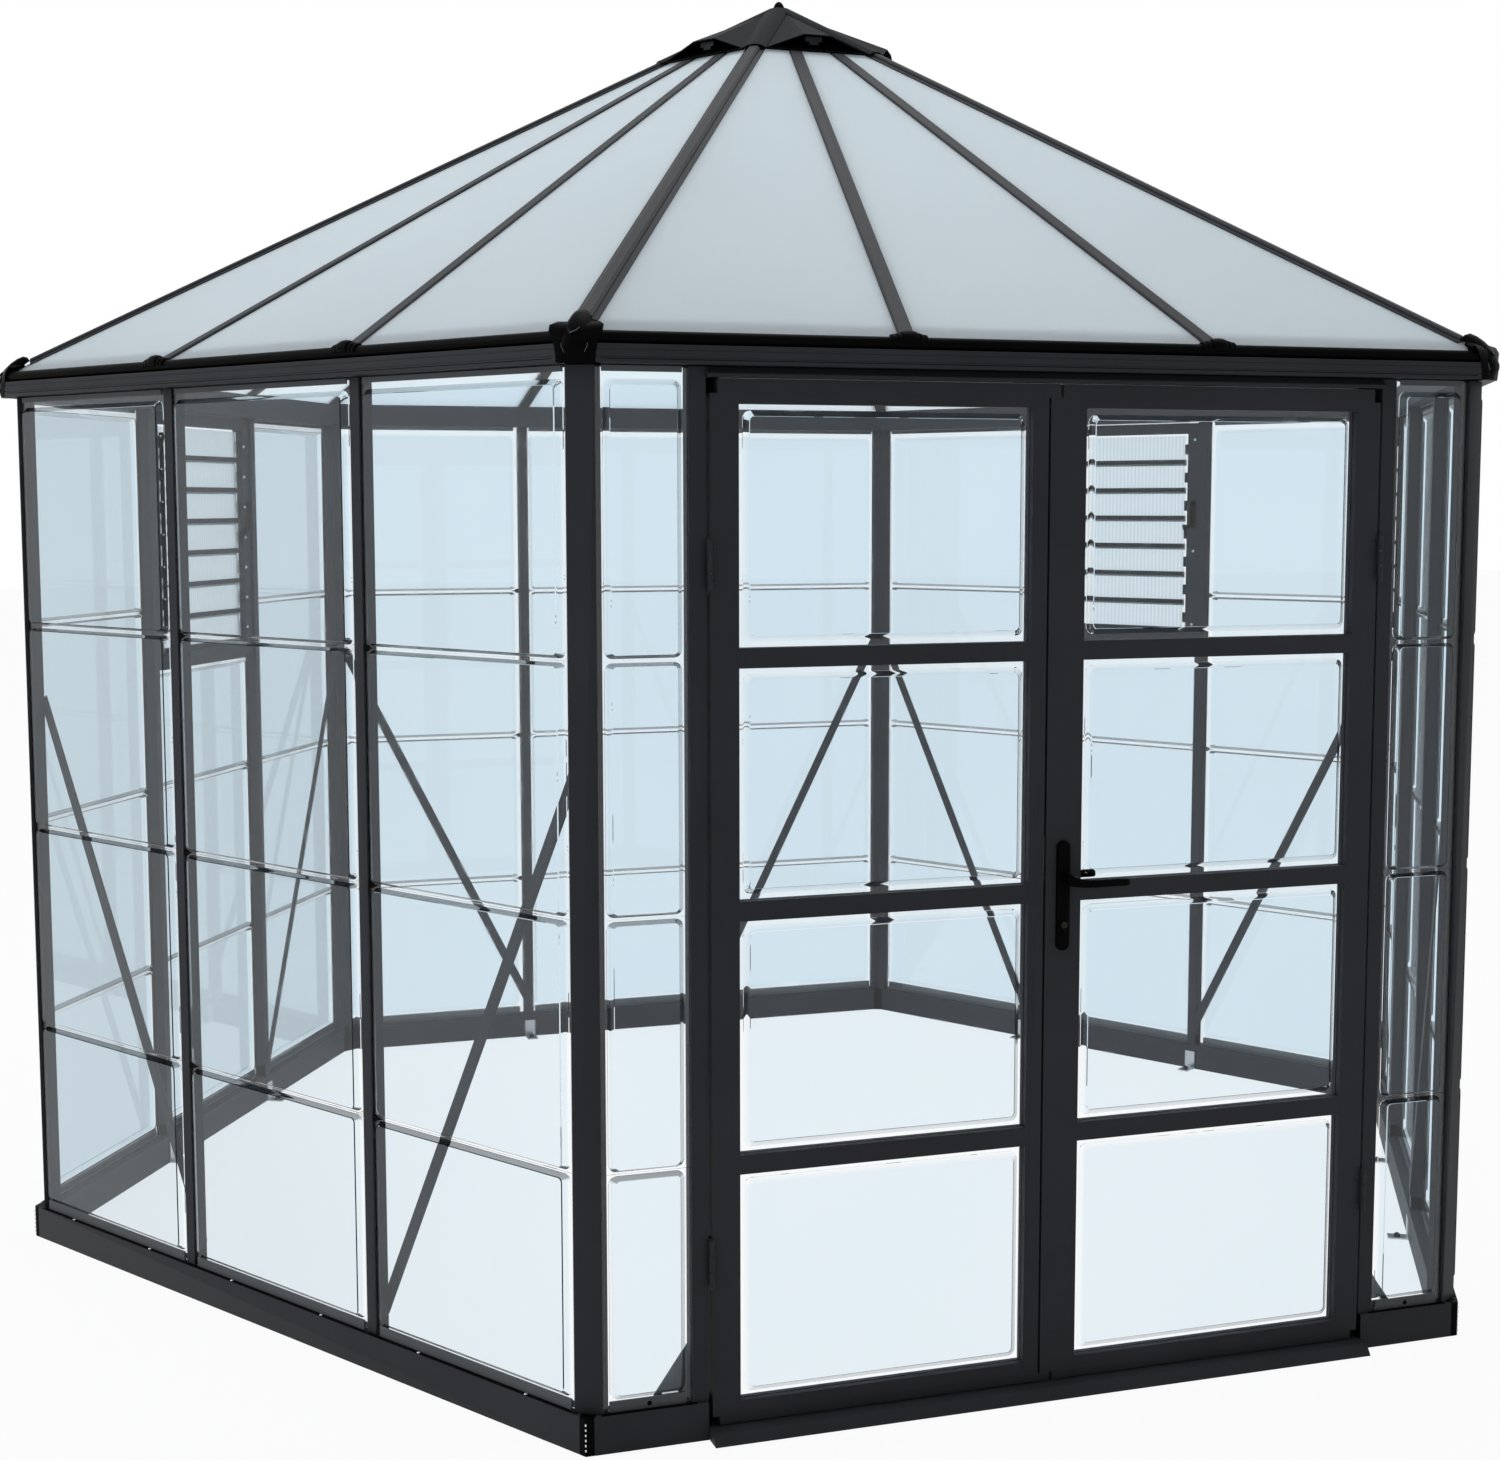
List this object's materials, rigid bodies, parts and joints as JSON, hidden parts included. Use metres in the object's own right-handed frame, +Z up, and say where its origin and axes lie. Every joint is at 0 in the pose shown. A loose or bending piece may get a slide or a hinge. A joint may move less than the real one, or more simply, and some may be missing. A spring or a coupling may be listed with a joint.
{
  "type": "aluminium greenhouse",
  "caption": "Hexagonal aluminium greenhouse with clear moulded wall panels, a pitched translucent roof, a vented apex cap, outward double doors and louvre windows.",
  "frame": {"origin": "centre of the hexagon on the ground, under the apex", "axes": "+Z up; -Y out through the double door; +X to the right as seen from in front of the door"},
  "size_m": [3.5172, 3.0859, 2.7721],
  "materials": {
    "frame": "charcoal powder coat",
    "black_plastic": "black, satin",
    "steel": "zinc plated",
    "brass": "nickel plated",
    "clear_panel": "clear",
    "roof_panel": "milky twin-wall",
    "slat": "milky twin-wall"
  },
  "bodies": {
    "greenhouse": {"base_rails": "frame", "door_threshold": "frame", "corner_posts": "frame", "wall_posts": "frame", "door_jambs": "frame", "door_header": "frame", "sill_bars": "frame", "head_bars": "frame", "ring_beams": "frame", "gutters": "frame", "hip_rafters": "frame", "rafters": "frame", "corner_braces": "frame", "gusset_plates": "frame", "hinge_jamb_plates": "frame", "base_corners": "black_plastic", "eave_trims": "black_plastic", "eave_corner_connectors": "black_plastic", "rafter_clips": "black_plastic", "apex_hub": "black_plastic", "apex_cap": "black_plastic", "apex_finial": "black_plastic", "anchor_brackets": "steel", "hinge_pins": "steel", "wall_panels": "clear_panel", "roof_panels": "roof_panel", "louvre_frames": "frame"},
    "left_door": {"left_leaf_frame": "frame", "left_leaf_panes": "clear_panel", "left_hinge_plates": "frame", "strike_plate": "steel"},
    "right_door": {"right_leaf_frame": "frame", "right_leaf_panes": "clear_panel", "right_hinge_plates": "frame", "lock_case": "steel", "handle_plates": "black_plastic", "lock_cylinder": "brass"},
    "handle": {"handle_levers": "black_plastic", "handle_spindle": "steel"},
    "latch": {"latch_bolt": "steel"},
    "lock_key_plug": {"lock_plug": "brass"},
    "left_louvre_slat_1": {"left_louvre_slat_1": "slat"},
    "left_louvre_slat_2": {"left_louvre_slat_2": "slat"},
    "left_louvre_slat_3": {"left_louvre_slat_3": "slat"},
    "left_louvre_slat_4": {"left_louvre_slat_4": "slat", "left_louvre_lever": "black_plastic"},
    "left_louvre_slat_5": {"left_louvre_slat_5": "slat"},
    "left_louvre_slat_6": {"left_louvre_slat_6": "slat"},
    "left_louvre_slat_7": {"left_louvre_slat_7": "slat"},
    "left_louvre_link": {"left_louvre_link": "black_plastic"},
    "right_louvre_slat_1": {"right_louvre_slat_1": "slat"},
    "right_louvre_slat_2": {"right_louvre_slat_2": "slat"},
    "right_louvre_slat_3": {"right_louvre_slat_3": "slat"},
    "right_louvre_slat_4": {"right_louvre_slat_4": "slat", "right_louvre_lever": "black_plastic"},
    "right_louvre_slat_5": {"right_louvre_slat_5": "slat"},
    "right_louvre_slat_6": {"right_louvre_slat_6": "slat"},
    "right_louvre_slat_7": {"right_louvre_slat_7": "slat"},
    "right_louvre_link": {"right_louvre_link": "black_plastic"}
  },
  "joints": [
    {"name": "left_door_hinge", "type": "hinge", "parent": "greenhouse", "child": "left_door", "pos_m": [-0.646, -1.5105, 0.9], "axis": [0, 0, -1], "range_deg": [0, 110]},
    {"name": "right_door_hinge", "type": "hinge", "parent": "greenhouse", "child": "right_door", "pos_m": [0.646, -1.5105, 0.9], "axis": [0, 0, 1], "range_deg": [0, 110]},
    {"name": "handle_turn", "type": "hinge", "parent": "right_door", "child": "handle", "pos_m": [0.011, -1.491, 0.947], "axis": [0, 1, 0], "range_deg": [0, 40], "stiffness_Nm_per_rad": 0.6, "springref_deg": -34.38},
    {"name": "latch_slide", "type": "slide", "parent": "right_door", "child": "latch", "axis": [1, 0, 0], "range_m": [0, 0.0105]},
    {"name": "lock_turn", "type": "hinge", "parent": "right_door", "child": "lock_key_plug", "pos_m": [0.011, -1.491, 0.862], "axis": [0, 1, 0], "range_deg": [0, 90]},
    {"name": "left_slat_1_turn", "type": "hinge", "parent": "greenhouse", "child": "left_louvre_slat_1", "pos_m": [-1.28778, 0.7435, 1.7574], "axis": [0.5, 0.866, 0], "range_deg": [0, 85]},
    {"name": "left_slat_2_turn", "type": "hinge", "parent": "greenhouse", "child": "left_louvre_slat_2", "pos_m": [-1.28778, 0.7435, 1.67895], "axis": [0.5, 0.866, 0], "range_deg": [0, 85]},
    {"name": "left_slat_3_turn", "type": "hinge", "parent": "greenhouse", "child": "left_louvre_slat_3", "pos_m": [-1.28778, 0.7435, 1.6005], "axis": [0.5, 0.866, 0], "range_deg": [0, 85]},
    {"name": "left_slat_4_turn", "type": "hinge", "parent": "greenhouse", "child": "left_louvre_slat_4", "pos_m": [-1.28778, 0.7435, 1.52205], "axis": [0.5, 0.866, 0], "range_deg": [0, 85]},
    {"name": "left_slat_5_turn", "type": "hinge", "parent": "greenhouse", "child": "left_louvre_slat_5", "pos_m": [-1.28778, 0.7435, 1.4436], "axis": [0.5, 0.866, 0], "range_deg": [0, 85]},
    {"name": "left_slat_6_turn", "type": "hinge", "parent": "greenhouse", "child": "left_louvre_slat_6", "pos_m": [-1.28778, 0.7435, 1.36515], "axis": [0.5, 0.866, 0], "range_deg": [0, 85]},
    {"name": "left_slat_7_turn", "type": "hinge", "parent": "greenhouse", "child": "left_louvre_slat_7", "pos_m": [-1.28778, 0.7435, 1.2867], "axis": [0.5, 0.866, 0], "range_deg": [0, 85]},
    {"name": "left_link_pivot", "type": "hinge", "parent": "left_louvre_slat_4", "child": "left_louvre_link", "pos_m": [-1.27553, 0.73643, 1.53619], "axis": [0.5, 0.866, 0], "range_deg": [-85, 0]},
    {"name": "right_slat_1_turn", "type": "hinge", "parent": "greenhouse", "child": "right_louvre_slat_1", "pos_m": [1.28778, 0.7435, 1.7574], "axis": [0.5, -0.866, 0], "range_deg": [0, 85]},
    {"name": "right_slat_2_turn", "type": "hinge", "parent": "greenhouse", "child": "right_louvre_slat_2", "pos_m": [1.28778, 0.7435, 1.67895], "axis": [0.5, -0.866, 0], "range_deg": [0, 85]},
    {"name": "right_slat_3_turn", "type": "hinge", "parent": "greenhouse", "child": "right_louvre_slat_3", "pos_m": [1.28778, 0.7435, 1.6005], "axis": [0.5, -0.866, 0], "range_deg": [0, 85]},
    {"name": "right_slat_4_turn", "type": "hinge", "parent": "greenhouse", "child": "right_louvre_slat_4", "pos_m": [1.28778, 0.7435, 1.52205], "axis": [0.5, -0.866, 0], "range_deg": [0, 85]},
    {"name": "right_slat_5_turn", "type": "hinge", "parent": "greenhouse", "child": "right_louvre_slat_5", "pos_m": [1.28778, 0.7435, 1.4436], "axis": [0.5, -0.866, 0], "range_deg": [0, 85]},
    {"name": "right_slat_6_turn", "type": "hinge", "parent": "greenhouse", "child": "right_louvre_slat_6", "pos_m": [1.28778, 0.7435, 1.36515], "axis": [0.5, -0.866, 0], "range_deg": [0, 85]},
    {"name": "right_slat_7_turn", "type": "hinge", "parent": "greenhouse", "child": "right_louvre_slat_7", "pos_m": [1.28778, 0.7435, 1.2867], "axis": [0.5, -0.866, 0], "range_deg": [0, 85]},
    {"name": "right_link_pivot", "type": "hinge", "parent": "right_louvre_slat_4", "child": "right_louvre_link", "pos_m": [1.27553, 0.73643, 1.53619], "axis": [0.5, -0.866, 0], "range_deg": [-85, 0]}
  ],
  "couplings": [
    {"joint": "latch_slide", "follows": "handle_turn", "m_per_rad": 0.015025},
    {"joint": "left_link_pivot", "follows": "left_slat_4_turn", "ratio": -1},
    {"joint": "left_slat_1_turn", "follows": "left_slat_4_turn", "ratio": 1},
    {"joint": "left_slat_2_turn", "follows": "left_slat_4_turn", "ratio": 1},
    {"joint": "left_slat_3_turn", "follows": "left_slat_4_turn", "ratio": 1},
    {"joint": "left_slat_5_turn", "follows": "left_slat_4_turn", "ratio": 1},
    {"joint": "left_slat_6_turn", "follows": "left_slat_4_turn", "ratio": 1},
    {"joint": "left_slat_7_turn", "follows": "left_slat_4_turn", "ratio": 1},
    {"joint": "right_link_pivot", "follows": "right_slat_4_turn", "ratio": -1},
    {"joint": "right_slat_1_turn", "follows": "right_slat_4_turn", "ratio": 1},
    {"joint": "right_slat_2_turn", "follows": "right_slat_4_turn", "ratio": 1},
    {"joint": "right_slat_3_turn", "follows": "right_slat_4_turn", "ratio": 1},
    {"joint": "right_slat_5_turn", "follows": "right_slat_4_turn", "ratio": 1},
    {"joint": "right_slat_6_turn", "follows": "right_slat_4_turn", "ratio": 1},
    {"joint": "right_slat_7_turn", "follows": "right_slat_4_turn", "ratio": 1}
  ]
}
